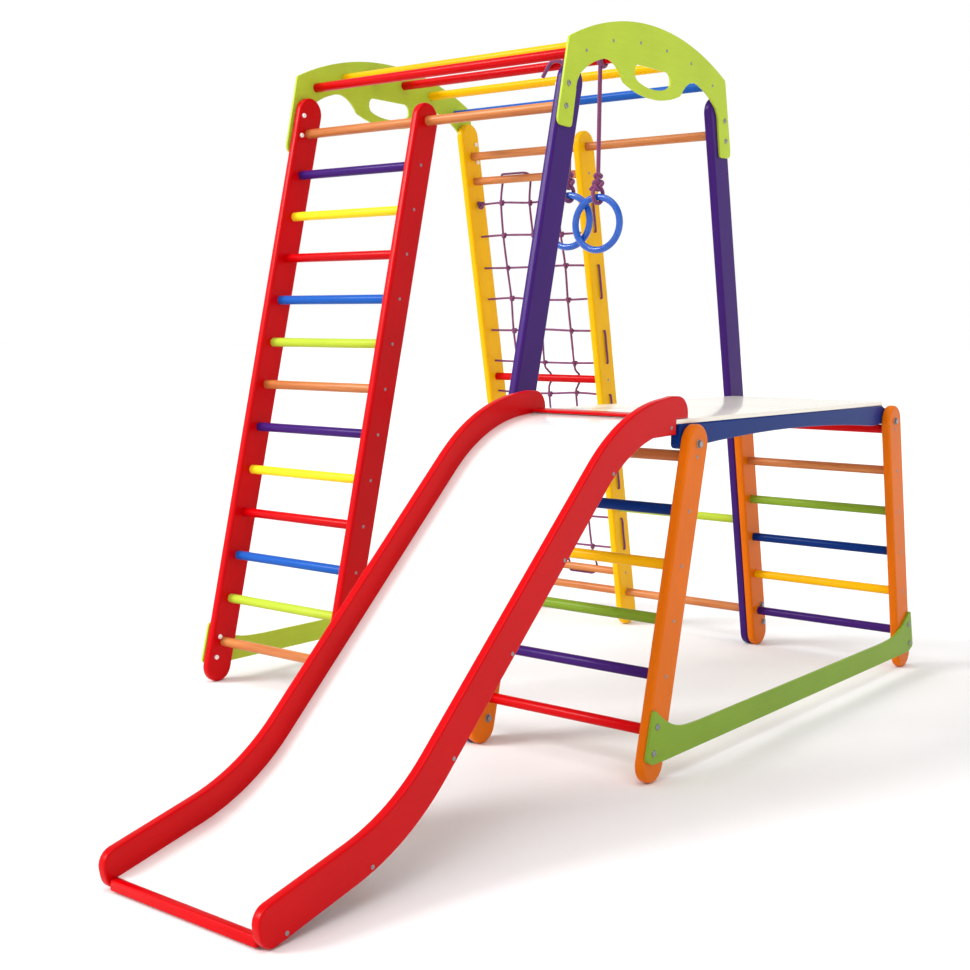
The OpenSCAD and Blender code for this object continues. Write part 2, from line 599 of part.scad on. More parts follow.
// a strand's way past a rung on its back, and round its back to its top (up = 1) or underside (up = -1)
function behind(x, s) = [on_rear(x, s - 30, weave), on_rear(x, s - 8, over), on_rear(x, s + 8, over),
                         on_rear(x, s + 30, weave)];
function round_back(x, s, up, dx) = [on_rear(x, s - up * 34, weave), on_rear(x, s - up * 8, over),
  on_rear(x + dx, s + up * 3, over + 0.5), on_rear(x + 3 * dx, s + up * half_over, half_over),
  on_rear(x + 9 * dx, s + up * (over + 0.5), 0)];
strand_pts = concat(
  [on_rear(92, net_low_s + 2, over), on_rear(92, net_low_s + 10, over), on_rear(92, net_low_s + 34, weave)],
  behind(92, net_red_s), round_back(92, net_top_s, 1, 1), reversed(round_back(184, net_top_s, 1, -1)),
  reversed(behind(184, net_red_s)), round_back(184, net_low_s, -1, 1),
  reversed(round_back(276, net_low_s, -1, -1)), behind(276, net_red_s),
  [on_rear(276, net_top_s - 34, weave), on_rear(276, net_top_s - 8, over), on_rear(276, net_top_s + 2, over)]);
module net_strands() color(rope) placed() tube(strand_pts, net_d / 2, 8, [1, 0, 0]);
net_knot_r = 6.5;
module net_knots() color(rope) placed() {
  for (x = strand_x, s = row_ss)
    translate(on_rear(x, s, weave / 2)) sphere(r = net_knot_r, $fn = 24);
  translate(on_rear(left_in + 8.2, row_s(0))) sphere(r = 8, $fn = 32);
}

// ---- fasteners ----
// a dome-headed bolt: head on the face at x, pointing along side
module dome_bolt(x, side, p, len, head_r = 6) {
  translate([x, p.x, p.y]) rotate([0, side * 90, 0]) {
    translate([0, 0, -tiny]) cylinder(h = len + tiny, d = bolt_d, $fn = 24);
    translate([0, 0, -3.5]) cylinder(h = 3.5, r1 = head_r * 0.6, r2 = head_r);
  }
}
bolt_len = panel_t + post_t + 2;
module panel_bolts() color(steel) placed() {
  for (p = arch_bolts) {
    dome_bolt(arch_left_x, 1, p, bolt_len);
    dome_bolt(arch_right_x + panel_t, -1, p, bolt_len);
  }
  for (p = stretch_bolts) {
    dome_bolt(arch_left_x, 1, p, bolt_len);
    dome_bolt(stretch_right_x + panel_t, -1, p, bolt_len);
  }
}
// a white cap nut on an inner face, with the bolt's tip in its hole
module cap_nut(x, side, p) {
  translate([x, p.x, p.y]) rotate([0, side * 90, 0]) difference() {
    union() {
      cylinder(h = 3, r = 5.4);
      translate([0, 0, 3]) cylinder(h = 2, r1 = 5.4, r2 = 3.4);
    }
    translate([0, 0, -1]) cylinder(h = 3.4, d = bolt_d + 2 * fit, $fn = 24);
  }
}
module bolt_caps() color(white) placed() {
  for (p = concat(arch_bolts, stretch_bolts)) cap_nut(left_in, 1, p);
  for (p = arch_bolts) cap_nut(purple_in, -1, p);
  for (p = stretch_bolts) cap_nut(side_out, -1, p);
}
hex_r = 6.8;
module hex_bolt(x0, x1, p, d) { // nut beyond x0 with the shank's end standing out of it, head beyond x1
  along_x(x0 - 9, x1 + tiny, d, p, 32);
  along_x(x0 - 5, x0, 2 * hex_r, p, 6);
  along_x(x1, x1 + 5, 2 * hex_r, p, 6);
}
module hex_bolts() color(steel) placed() {
  for (p = [front_pivot, rear_pivot]) {
    hex_bolt(side_out - apron_t, x_outer + post_t / 2, p, pivot_d);
    hex_bolt(x_purple - post_t / 2, side_in + apron_t, p, pivot_d);
  }
  for (p = concat(front_foot_bolts, rear_foot_bolts))
    hex_bolt(x_purple - post_t / 2, side_in, p, bolt_d);
}
// a small screw with a flat head, into the end of a rung or a bar
module wood_screw(x, side, p, wall, d = screw_d) {
  translate([x, p.x, p.y]) rotate([0, side * 90, 0]) {
    translate([0, 0, -tiny]) cylinder(h = wall + screw_deep - 2, d = d, $fn = 24);
    translate([0, 0, -0.8]) cylinder(h = 0.8, d1 = 6.4, d2 = 7.2, $fn = 32);
  }
}
rung_wall = post_t - bore_deep;
module rung_screws() color(steel) placed() {
  for (s = ladder_ks) wood_screw(x_left - post_t / 2, 1, front_at(s), rung_wall);
  for (s = ladder_ks) wood_screw(x_right + post_t / 2, -1, front_at(s), rung_wall);
  for (s = [net_top_s, net_red_s, net_low_s]) wood_screw(x_left - post_t / 2, 1, rear_at(s), rung_wall);
  for (s = [net_top_s, net_red_s, net_low_s]) wood_screw(x_right + post_t / 2, -1, rear_at(s), rung_wall);
  for (s = side_screw_ks) {
    wood_screw(x_outer + post_t / 2, -1, front_at(s), rung_wall);
    wood_screw(x_outer + post_t / 2, -1, rear_at(s), rung_wall);
  }
  for (p = top_rail_ends) wood_screw(arch_left_x, 1, p, panel_t + rung_wall);
  for (b = roof_bars) let (p = [arch_y + b.x, b.y]) {
    wood_screw(arch_left_x, 1, p, panel_t);
    wood_screw(arch_right_x + panel_t, -1, p, panel_t);
  }
}
module slide_screws() color(steel) placed()
  for (v = slat_at) {
    wood_screw(cheek_xs[0], 1, slat_centre(v), cheek_t, slide_screw_d);
    wood_screw(cheek_xs[1] + cheek_t, -1, slat_centre(v), cheek_t, slide_screw_d);
  }

red_post_left();
red_post_right();
purple_post_front();
purple_post_rear();
yellow_post_left();
yellow_post_right();
orange_post_front_inner();
orange_post_front_outer();
orange_post_rear_inner();
orange_post_rear_outer();
arch_panel_left();
arch_panel_right();
arch_bars_red();
arch_bars_yellow();
arch_bars_blue();
front_top_rail();
front_bottom_rail();
rear_top_rail();
rear_bottom_rail();
ladder_rungs_purple();
ladder_rungs_yellow();
ladder_rungs_red();
ladder_rungs_blue();
ladder_rungs_lime();
ladder_rung_natural();
net_rungs_natural();
net_red_rung();
rear_lime_rung();
side_rungs_natural();
side_rungs_blue();
side_rungs_yellow();
side_rungs_green();
side_rungs_purple();
side_rungs_red();
stretcher_left();
stretcher_right();
platform_top();
apron_inner();
apron_outer();
slide_cheek_left();
slide_cheek_right();
slide_bed();
slide_slats();
slide_landing_board();
slide_foot_board();
ring_front();
ring_rear();
ring_rope_front();
ring_rope_rear();
ring_knot_front();
ring_knot_rear();
rope_hitches();
net_rows();
net_strands();
net_knots();
panel_bolts();
bolt_caps();
hex_bolts();
rung_screws();
slide_screws();
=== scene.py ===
"""Looks of a painted wooden climbing frame with a slide, a rope net and two hanging rings."""

import json
import math

import bmesh
import bpy
import numpy as np
from mathutils import Matrix, Vector
from mathutils.geometry import tessellate_polygon


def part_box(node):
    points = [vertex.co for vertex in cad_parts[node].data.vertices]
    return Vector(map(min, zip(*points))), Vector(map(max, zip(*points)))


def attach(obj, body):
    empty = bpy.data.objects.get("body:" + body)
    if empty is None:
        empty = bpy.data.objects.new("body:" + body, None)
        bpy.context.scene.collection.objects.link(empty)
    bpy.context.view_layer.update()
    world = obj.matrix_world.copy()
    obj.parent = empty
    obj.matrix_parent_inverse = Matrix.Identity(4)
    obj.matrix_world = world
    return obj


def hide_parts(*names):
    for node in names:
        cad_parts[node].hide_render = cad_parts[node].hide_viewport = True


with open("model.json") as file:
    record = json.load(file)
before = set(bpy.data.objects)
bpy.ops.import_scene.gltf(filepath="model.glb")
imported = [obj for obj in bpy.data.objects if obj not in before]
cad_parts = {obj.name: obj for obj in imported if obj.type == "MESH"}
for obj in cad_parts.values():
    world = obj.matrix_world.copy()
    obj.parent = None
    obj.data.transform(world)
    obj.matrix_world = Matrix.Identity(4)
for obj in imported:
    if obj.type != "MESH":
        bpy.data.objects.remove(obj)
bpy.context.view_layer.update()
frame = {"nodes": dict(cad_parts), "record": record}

MM = 0.001
# the corner that the maker's drawing measures from, in the row frame's metres
DRAWING = np.array([-0.570, 0.45567, -0.0006])


def drawn(*point):
    """A point of the drawing, in millimetres, as metres in the row frame."""
    return np.array(point, float) * MM + DRAWING


# ---- sizes the looks need, in millimetres on the drawing ----
ROPE_R = 5
NET_R = 3
RING_R = 60
RING_TUBE_R = 8
HINGE_Z = 1399.2
RINGS = {"front": (588, 61, 1109), "rear": (495, 79, 1119)}
KNOT_UP = 30
KNOT_R = 13
ROPE_POINTS = 16
HITCH_BAR = (71, 1419.6)
HITCH_TURNS = 2
BAR_R = 10.75
REAR_LEAN = math.radians(11.6)
REAR_FOOT = (585, 36)
RUNG_R = 10.25
NET_TOP, NET_RED, NET_LOW = 1190, 652, 112
FIRST_ROW, ROW_GAP, ROWS = 1127, 86, 12
STRANDS = (92, 184, 276)
ROW_ENDS = (-14.0, 380.0)
ARCH_Y = 16
ARCH_X, STRETCH_X, CAP_X = (-16, 756), (-16, 1156), (10, 730, 1130)
ARCH_BOLTS = ((328, 1299), (336, 1253))
STRETCH_BOLTS = ((588, 104), (599, 58))


# ---- camera ----
def set_camera():
    """A still camera in front of the frame, to the right of the slide, at a child's standing height."""
    eye = drawn(2417.25, -2754.69, 803.38)
    yaw, pitch, roll = math.radians(39.140), math.radians(-6.001), math.radians(0.4219)
    focal, centre_x, centre_y, side = 1428.17, 439.98, 479.67, 970
    ahead = np.array([-math.sin(yaw) * math.cos(pitch), math.cos(yaw) * math.cos(pitch), math.sin(pitch)])
    right = np.array([math.cos(yaw), math.sin(yaw), 0.0])
    up = np.cross(right, ahead)
    across = math.cos(roll) * right + math.sin(roll) * up
    upward = -math.sin(roll) * right + math.cos(roll) * up
    data = bpy.data.cameras.new("camera")
    data.sensor_fit, data.sensor_width = "HORIZONTAL", 36
    data.lens = focal / side * data.sensor_width
    data.shift_x = (side / 2 - centre_x) / side
    data.shift_y = (centre_y - side / 2) / side
    data.clip_start, data.clip_end = 0.05, 60
    camera = bpy.data.objects.new("camera", data)
    bpy.context.scene.collection.objects.link(camera)
    turn = np.eye(4)
    turn[:3, 0], turn[:3, 1], turn[:3, 2], turn[:3, 3] = across, upward, -ahead, eye
    camera.matrix_world = Matrix(turn.tolist())
    bpy.context.scene.camera = camera


set_camera()


# ---- surfaces ----
def unit(v):
    """Each row of v at length one."""
    return v / np.maximum(np.linalg.norm(v, axis=-1, keepdims=True), 1e-12)


def smooth_path(points, steps):
    """A curve through the points: between neighbours a cubic whose slope at each point is half the chord
    from the point before to the point after, sampled steps times a span."""
    p = np.asarray(points, float)
    slope = np.gradient(p, axis=0)
    t = np.linspace(0, 1, steps, endpoint=False)[:, None]
    a, b, c, d = 2 * t**3 - 3 * t**2 + 1, t**3 - 2 * t**2 + t, 3 * t**2 - 2 * t**3, t**3 - t**2
    spans = a * p[:-1, None] + b * slope[:-1, None] + c * p[1:, None] + d * slope[1:, None]
    return np.vstack([spans.reshape(-1, 3), p[-1:]])


def sides_along(path, first):
    """Two directions square to the path at each point. The first starts at `first` and is carried along
    with each step's turn taken out, so that the tube doesn't twist."""
    along = unit(np.gradient(path, axis=0))
    n = np.empty_like(path)
    n[0] = unit(np.asarray(first, float) - np.dot(first, along[0]) * along[0])
    for i in range(1, len(path)):
        n[i] = n[i - 1] - np.dot(n[i - 1], along[i]) * along[i]
        n[i] /= np.linalg.norm(n[i])
    return n, np.cross(along, n)


def mesh_piece(name, points, faces, uv=None, smooth=True):
    """A mesh object from points and faces. uv holds a pair for each face corner, and smooth is a flag for
    all the faces or one for each."""
    mesh = bpy.data.meshes.new(name)
    mesh.from_pydata(points.tolist(), [], faces)
    if uv is not None:
        mesh.uv_layers.new(name="UVMap").data.foreach_set("uv", np.asarray(uv, np.float32).ravel())
    mesh.polygons.foreach_set("use_smooth", np.broadcast_to(smooth, len(mesh.polygons)).tolist())
    mesh.update()
    piece = bpy.data.objects.new(name, mesh)
    bpy.context.scene.collection.objects.link(piece)
    return piece


def grid_faces(rows, columns, start=0):
    """Quads of a rows by columns grid whose columns close into a ring, wound to face outwards."""
    i, j = np.meshgrid(np.arange(rows - 1), np.arange(columns), indexing="ij")
    k = (j + 1) % columns
    return start + np.stack([i * columns + j, i * columns + k, (i + 1) * columns + k, (i + 1) * columns + j],
                            -1).reshape(-1, 4)


def tube_parts(path, radius, sides=12, first=(0, 0, 1), strands=0, lay=0.03, depth=0.1):
    """A round tube: at distance s along the path and angle a round it, the radius is the rope's own radius
    less `depth` of it in the grooves between its strands, which turn once every `lay`."""
    n, b = sides_along(path, first)
    s = np.concatenate([[0], np.cumsum(np.linalg.norm(np.diff(path, axis=0), axis=1))])
    a = np.linspace(0, 2 * math.pi, sides, endpoint=False)
    groove = 0
    if strands:
        groove = depth * (1 - np.abs(np.cos(strands * (a[None] + 2 * math.pi * s[:, None] / lay) / 2)))
    r = np.broadcast_to(np.asarray(radius, float).reshape(-1, 1), (len(path), 1)) * (1 - groove)
    ring = np.cos(a)[None, :, None] * n[:, None] + np.sin(a)[None, :, None] * b[:, None]
    points = (path[:, None] + r[..., None] * ring).reshape(-1, 3)
    quads = grid_faces(len(path), sides)
    u, v = np.meshgrid(s, np.arange(sides + 1) / sides, indexing="ij")
    corner = np.stack([u, v], -1)
    i, j = np.divmod(np.arange(len(quads)), sides)
    uv = np.stack([corner[i, j], corner[i, j + 1], corner[i + 1, j + 1], corner[i + 1, j]], 1)
    return points, quads, uv


def tubes(name, paths, radius, **how):
    """One piece from several tubes, each closed at both ends by a fan round its last point."""
    points, faces, uvs, base = [], [], [], 0
    for path in paths:
        p, quads, uv = tube_parts(path, radius, **how)
        sides = len(quads) // (len(path) - 1)
        ends = np.array([path[0], path[-1]])
        points += [p, ends]
        faces += (quads + base).tolist()
        uvs.append(uv.reshape(-1, 2))
        j = np.arange(sides)
        k = (j + 1) % sides
        last = len(p) - sides
        caps = np.vstack([np.stack([np.full(sides, len(p)), k, j], 1),
                          np.stack([np.full(sides, len(p) + 1), last + j, last + k], 1)])
        faces += (caps + base).tolist()
        uvs.append(np.zeros((caps.size, 2)))
        base += len(p) + 2
    return mesh_piece(name, np.vstack(points), faces, np.vstack(uvs))


# ---- the ring ropes: cords that hang free ----
def rope_tubes(name, paths, radius, sides=16):
    """Laid rope along each path: the tube's radius dips between eight strands."""
    start = (0.9, 0.1, 0.4)
    return tubes(name, paths, radius * MM, sides=sides, first=start, strands=8, lay=0.05, depth=0.09)


def hang_ropes():
    """Each rope hangs straight from the roof bar to the knot on its ring."""
    ropes = {}
    for name, (x, y, top) in RINGS.items():
        low = top + KNOT_UP + KNOT_R - 3
        z = np.linspace(HINGE_Z, low, ROPE_POINTS)
        route = np.array([drawn(x, y, v) for v in z])
        rope = rope_tubes(f"rope_{name}", [smooth_path(route, 12)], ROPE_R, sides=24)
        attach(rope, f"rope_{name}")
        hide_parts(f"ring_rope_{name}")
        ropes[name] = (rope, route)
    return ropes


def overhand(centre, size, turn, points=64):
    """A tightened overhand knot: a path that winds twice round its middle and three times through it, with
    x = sin t + 2 sin 2t, y = cos t - 2 cos 2t, z = -1.5 sin 3t, turned about the upright by `turn`."""
    t = np.linspace(0, 2 * math.pi, points, endpoint=False) + 0.3
    x, y, z = np.sin(t) + 2 * np.sin(2 * t), np.cos(t) - 2 * np.cos(2 * t), -1.5 * np.sin(3 * t)
    c, s = math.cos(turn), math.sin(turn)
    return np.asarray(centre, float) + size * np.stack([c * x - s * z, s * x + c * z, y], 1)


def loop_and_knot(name, x, y, top):
    """The rope's end: a small stopper knot, a larger knot below it, and a loop that spreads from the large
    knot and passes round the ring's tube, with a short tail."""
    around = RING_TUBE_R + 0.6 + ROPE_R
    a = np.linspace(math.pi, 2 * math.pi, 24)
    bow = np.stack([x + 3 * np.cos(a), y + around * np.cos(a), top + around * np.sin(a)], 1)
    knot = top + KNOT_UP
    left = [[x - 1, y - 3, knot - 4], [x - 5, y - 8.5, knot - 13], [x - 5, y - 13, top + 9]]
    right = [[x + 5, y + 13, top + 9], [x + 5, y + 8.5, knot - 13], [x + 1, y + 3, knot - 4]]
    loop = smooth_path(np.vstack([left, bow, right]), 3)
    tail = smooth_path([[x - 2, y - 5, knot - 4], [x - 9, y - 9, knot - 8], [x - 14, y - 11, knot - 15]], 10)
    paths = [overhand((x, y, knot - 2), 3.7, 0.5), overhand((x, y, knot + 17), 2.5, 1.4), loop, tail]
    piece = rope_tubes(f"knot_{name}", [path * MM + DRAWING for path in paths], ROPE_R * 0.96)
    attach(piece, f"rope_{name}")
    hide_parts(f"ring_knot_{name}")
    return piece


rope_pieces = hang_ropes()
knot_pieces = {name: loop_and_knot(name, *place) for name, place in RINGS.items()}


# ---- materials ----
def linear(r, g, b):
    """A colour given in screen values from 0 to 255, as the light values that shaders take."""
    c = np.array([r, g, b], float) / 255
    low, high = c / 12.92, ((c + 0.055) / 1.055) ** 2.4
    return (*np.where(c <= 0.04045, low, high), 1.0)


def blank(name):
    """An empty node material with its shader and output: the material, its nodes, its links, its shader."""
    material = bpy.data.materials.new(name)
    material.use_nodes = True
    nodes, links = material.node_tree.nodes, material.node_tree.links
    return material, nodes, links, nodes["Principled BSDF"]


def pattern(nodes, links, kind, source, scale, stretch=(1, 1, 1), **settings):
    """A texture node that reads `source` through a stretch, at this scale."""
    mapping = nodes.new("ShaderNodeMapping")
    mapping.inputs["Scale"].default_value = stretch
    links.new(source, mapping.inputs["Vector"])
    texture = nodes.new(kind)
    texture.inputs["Scale"].default_value = scale
    for key, value in settings.items():
        if key in texture.inputs:
            texture.inputs[key].default_value = value
        else:
            setattr(texture, key, value)
    links.new(mapping.outputs["Vector"], texture.inputs["Vector"])
    return texture


def ramp(nodes, links, source, stops):
    """A colour ramp on `source`, from (place, colour) stops."""
    node = nodes.new("ShaderNodeValToRGB")
    elements = node.color_ramp.elements
    while len(elements) < len(stops):
        elements.new(0.5)
    for element, (place, colour) in zip(elements, stops):
        element.position = place
        element.color = colour
    links.new(source, node.inputs["Fac"])
    return node


def bump(nodes, links, shader, height, strength, distance):
    """Presses a height pattern into the surface."""
    node = nodes.new("ShaderNodeBump")
    node.inputs["Strength"].default_value = strength
    node.inputs["Distance"].default_value = distance
    links.new(height, node.inputs["Height"])
    links.new(node.outputs["Normal"], shader.inputs["Normal"])


GRAIN = {"upright": (1, 1, 0.06), "across": (0.06, 1, 1), "level": (1, 0.06, 1)}


def shade(colour, share):
    """The colour lightened (share over 1) or darkened."""
    return (*[min(1.0, c * share) for c in colour[:3]], 1.0)


def painted(name, colour, run, roughness=0.3, clear=0.05):
    """Brushed paint on wood: fine grain raised through the film along the timber, and a slow change of tone
    over the board."""
    material, nodes, links, shader = blank(name)
    place = nodes.new("ShaderNodeTexCoord").outputs["Object"]
    grain = pattern(nodes, links, "ShaderNodeTexNoise", place, 260, GRAIN[run], Detail=6, Roughness=0.6)
    cloud = pattern(nodes, links, "ShaderNodeTexNoise", place, 5, Detail=3)
    tone = ramp(nodes, links, cloud.outputs["Fac"], [(0.3, shade(colour, 0.93)), (0.7, shade(colour, 1.05))])
    streak = ramp(nodes, links, grain.outputs["Fac"], [(0.3, (0.93, 0.93, 0.93, 1)), (0.7, (1, 1, 1, 1))])
    mix = nodes.new("ShaderNodeMix")
    mix.data_type, mix.blend_type = "RGBA", "MULTIPLY"
    mix.inputs["Factor"].default_value = 0.8
    links.new(tone.outputs["Color"], mix.inputs["A"])
    links.new(streak.outputs["Color"], mix.inputs["B"])
    links.new(mix.outputs["Result"], shader.inputs["Base Color"])
    rough = nodes.new("ShaderNodeMapRange")
    rough.inputs["To Min"].default_value = roughness - 0.05
    rough.inputs["To Max"].default_value = roughness + 0.09
    links.new(grain.outputs["Fac"], rough.inputs["Value"])
    links.new(rough.outputs["Result"], shader.inputs["Roughness"])
    shader.inputs["Specular IOR Level"].default_value = 0.08
    shader.inputs["Coat Weight"].default_value = clear
    shader.inputs["Coat Roughness"].default_value = 0.12
    bump(nodes, links, shader, grain.outputs["Fac"], 0.12, 0.0006)
    return material


def bare_wood(name, run):
    """Varnished pale wood: long growth lines of warm brown along the timber, with fine pores."""
    material, nodes, links, shader = blank(name)
    place = nodes.new("ShaderNodeTexCoord").outputs["Object"]
    lines = pattern(nodes, links, "ShaderNodeTexNoise", place, 55, GRAIN[run], Detail=5, Distortion=0.8)
    pores = pattern(nodes, links, "ShaderNodeTexNoise", place, 420, GRAIN[run], Detail=3)
    tone = ramp(nodes, links, lines.outputs["Fac"],
                [(0.25, linear(180, 98, 44)), (0.5, linear(200, 120, 62)), (0.75, linear(216, 144, 84))])
    fine = ramp(nodes, links, pores.outputs["Fac"], [(0.35, (0.88, 0.84, 0.8, 1)), (0.6, (1, 1, 1, 1))])
    mix = nodes.new("ShaderNodeMix")
    mix.data_type, mix.blend_type = "RGBA", "MULTIPLY"
    mix.inputs["Factor"].default_value = 0.7
    links.new(tone.outputs["Color"], mix.inputs["A"])
    links.new(fine.outputs["Color"], mix.inputs["B"])
    links.new(mix.outputs["Result"], shader.inputs["Base Color"])
    shader.inputs["Roughness"].default_value = 0.38
    shader.inputs["Specular IOR Level"].default_value = 0.25
    shader.inputs["Coat Weight"].default_value = 0.12
    shader.inputs["Coat Roughness"].default_value = 0.25
    bump(nodes, links, shader, pores.outputs["Fac"], 0.15, 0.0005)
    return material


def smooth_board(name, colour, roughness, clear):
    """A sprayed or laminated board: nearly even, with the faint ripple of a lacquered surface."""
    material, nodes, links, shader = blank(name)
    place = nodes.new("ShaderNodeTexCoord").outputs["Object"]
    ripple = pattern(nodes, links, "ShaderNodeTexNoise", place, 38, Detail=2)
    fine = pattern(nodes, links, "ShaderNodeTexNoise", place, 700, Detail=2)
    tone = ramp(nodes, links, ripple.outputs["Fac"], [(0.3, shade(colour, 0.975)), (0.7, colour)])
    links.new(tone.outputs["Color"], shader.inputs["Base Color"])
    rough = nodes.new("ShaderNodeMapRange")
    rough.inputs["To Min"].default_value = roughness * 0.8
    rough.inputs["To Max"].default_value = roughness * 1.25
    links.new(fine.outputs["Fac"], rough.inputs["Value"])
    links.new(rough.outputs["Result"], shader.inputs["Roughness"])
    shader.inputs["Coat Weight"].default_value = clear
    shader.inputs["Coat Roughness"].default_value = 0.08
    bump(nodes, links, shader, ripple.outputs["Fac"], 0.1, 0.0008)
    return material


def braid(name, colour):
    """A braided cord, read along and round each rope: two sets of yarns cross on the diagonal, and each
    yarn carries a painted highlight on its crown and painted shade in the gap beside it."""
    material, nodes, links, shader = blank(name)
    along = nodes.new("ShaderNodeTexCoord").outputs["UV"]
    waves = []
    for slant in (1, -1):
        mapping = nodes.new("ShaderNodeMapping")
        mapping.inputs["Scale"].default_value = (900, 8 * slant, 1)
        links.new(along, mapping.inputs["Vector"])
        split = nodes.new("ShaderNodeSeparateXYZ")
        links.new(mapping.outputs["Vector"], split.inputs["Vector"])
        add = nodes.new("ShaderNodeMath")
        add.operation = "ADD"
        links.new(split.outputs["X"], add.inputs[0])
        scale = nodes.new("ShaderNodeMath")
        scale.operation = "MULTIPLY"
        scale.inputs[1].default_value = 2 * math.pi
        links.new(split.outputs["Y"], scale.inputs[0])
        links.new(scale.outputs["Value"], add.inputs[1])
        sine = nodes.new("ShaderNodeMath")
        sine.operation = "SINE"
        links.new(add.outputs["Value"], sine.inputs[0])
        waves.append(sine.outputs["Value"])
    product = nodes.new("ShaderNodeMath")
    product.operation = "MULTIPLY"
    links.new(waves[0], product.inputs[0])
    links.new(waves[1], product.inputs[1])
    height = nodes.new("ShaderNodeMapRange")
    height.inputs["From Min"].default_value = -1
    links.new(product.outputs["Value"], height.inputs["Value"])
    # painted shade in the gaps between yarns and a painted highlight on their crowns: darker where the yarn
    # height is low, lighter where it is high
    stops = [(0.1, shade(colour, 0.5)), (0.8, shade(colour, 1.25))]
    tone = ramp(nodes, links, height.outputs["Result"], stops)
    links.new(tone.outputs["Color"], shader.inputs["Base Color"])
    shader.inputs["Roughness"].default_value = 0.72
    shader.inputs["Sheen Weight"].default_value = 0.3
    bump(nodes, links, shader, height.outputs["Result"], 0.5, 0.0008)
    return material


def metal(name, colour, roughness):
    """Plated steel with fine brushing."""
    material, nodes, links, shader = blank(name)
    place = nodes.new("ShaderNodeTexCoord").outputs["Object"]
    fine = pattern(nodes, links, "ShaderNodeTexNoise", place, 1500, Detail=4)
    tone = ramp(nodes, links, fine.outputs["Fac"], [(0.3, shade(colour, 0.85)), (0.7, colour)])
    links.new(tone.outputs["Color"], shader.inputs["Base Color"])
    shader.inputs["Metallic"].default_value = 1.0
    rough = nodes.new("ShaderNodeMapRange")
    rough.inputs["To Min"].default_value = roughness * 0.8
    rough.inputs["To Max"].default_value = roughness * 1.4
    links.new(fine.outputs["Fac"], rough.inputs["Value"])
    links.new(rough.outputs["Result"], shader.inputs["Roughness"])
    bump(nodes, links, shader, fine.outputs["Fac"], 0.05, 0.0002)
    return material


PAINT = {
    "red_paint": linear(204, 0, 8),
    "purple_paint": linear(62, 26, 110),
    "yellow_paint": linear(255, 190, 4),
    "lemon_paint": linear(250, 226, 40),
    "orange_paint": linear(226, 110, 0),
    "lime_paint": linear(186, 208, 60),
    "blue_paint": linear(30, 92, 184),
    "navy_paint": linear(0, 44, 118),
    "leaf_paint": linear(132, 166, 48),
}
made = {}


def finish_for(slot, run):
    """The finish of a record slot for timber that runs this way, made once."""
    key = f"{slot}_{run}"
    if key not in made:
        if slot in PAINT:
            made[key] = painted(key, PAINT[slot], run)
        elif slot == "natural_wood":
            made[key] = bare_wood(key, run)
        elif slot == "cream_board":
            made[key] = smooth_board(key, linear(242, 236, 222), 0.26, 0.35)
        elif slot == "white_board":
            made[key] = smooth_board(key, linear(245, 245, 243), 0.22, 0.5)
        elif slot == "blue_plastic":
            made[key] = smooth_board(key, linear(20, 88, 190), 0.2, 0.35)
        elif slot == "rope":
            made[key] = braid(key, linear(128, 50, 108))
        elif slot == "steel":
            made[key] = metal(key, linear(150, 152, 157), 0.28)
        else:
            made[key] = smooth_board(key, linear(240, 240, 238), 0.3, 0.3)
    return made[key]


def run_of(node):
    """Which way a node's timber runs: rungs, rails and bars go across, posts stand, panels lie level."""
    if any(word in node for word in ("rung", "rail", "bars", "slat", "landing", "foot_board")):
        return "across"
    if "post" in node:
        return "upright"
    return "level"


slot_of = {s["node"]: s["material_slot"] for s in frame["record"]["subparts"]}
body_of = {node: body for body, nodes in frame["record"]["behaviour"]["bodies"].items() for node in nodes}


def dress(piece, node):
    """Gives a piece the finish of its node's slot."""
    piece.data.materials.clear()
    piece.data.materials.append(finish_for(slot_of[node], run_of(node)))


def stands_for(piece, node):
    """The piece rides where its node rides, replaces it and takes its finish."""
    dress(piece, node)
    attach(piece, body_of[node])
    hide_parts(node)


for name in RINGS:
    for piece in (rope_pieces[name][0], knot_pieces[name]):
        piece.data.materials.append(finish_for("rope", "level"))


# ---- what the looks read from the frame's solids ----
def merged(node):
    """The node's solid with its doubled points merged, to read."""
    shape = bmesh.new()
    shape.from_mesh(frame["nodes"][node].data)
    bmesh.ops.remove_doubles(shape, verts=shape.verts, dist=2e-5)
    shape.verts.index_update()
    return shape


def solids(node):
    """The points of each separate solid of a node, in metres."""
    shape = merged(node)
    seen, groups = set(), []
    for start in shape.verts:
        if start.index in seen:
            continue
        seen.add(start.index)
        group, reach = [], [start]
        while reach:
            vertex = reach.pop()
            group.append(vertex.co[:])
            for edge in vertex.link_edges:
                other = edge.other_vert(vertex)
                if other.index not in seen:
                    seen.add(other.index)
                    reach.append(other)
        groups.append(np.array(group))
    shape.free()
    return groups


def face_outlines(node, least=0.0008):
    """The outlines, as rows of (y, z) that keep the board on their left, of the flat face on a board's low-x
    side. Holes smaller than `least` square metres are filled by what goes into them, and are left out."""
    shape = merged(node)
    x = min(v.co.x for v in shape.verts)
    flat = {f for f in shape.faces if f.normal.x < -0.999 and abs(f.verts[0].co.x - x) < 2e-5}
    after = {}
    for face in flat:
        for corner in face.loops:
            if not any(other in flat for other in corner.edge.link_faces if other is not face):
                after[corner.vert.index] = corner.link_loop_next.vert.index
    place = {v.index: (v.co.y, v.co.z) for v in shape.verts}
    shape.free()
    outlines = []
    while after:
        start, here = next(iter(after.items()))
        del after[start]
        loop = [start]
        while here != start:
            loop.append(here)
            here = after.pop(here)
        points = np.array([place[k] for k in loop])
        y, z = points.T
        area = abs(np.sum(y * np.roll(z, -1) - z * np.roll(y, -1))) / 2
        if area > least:
            outlines.append(points)
    return outlines


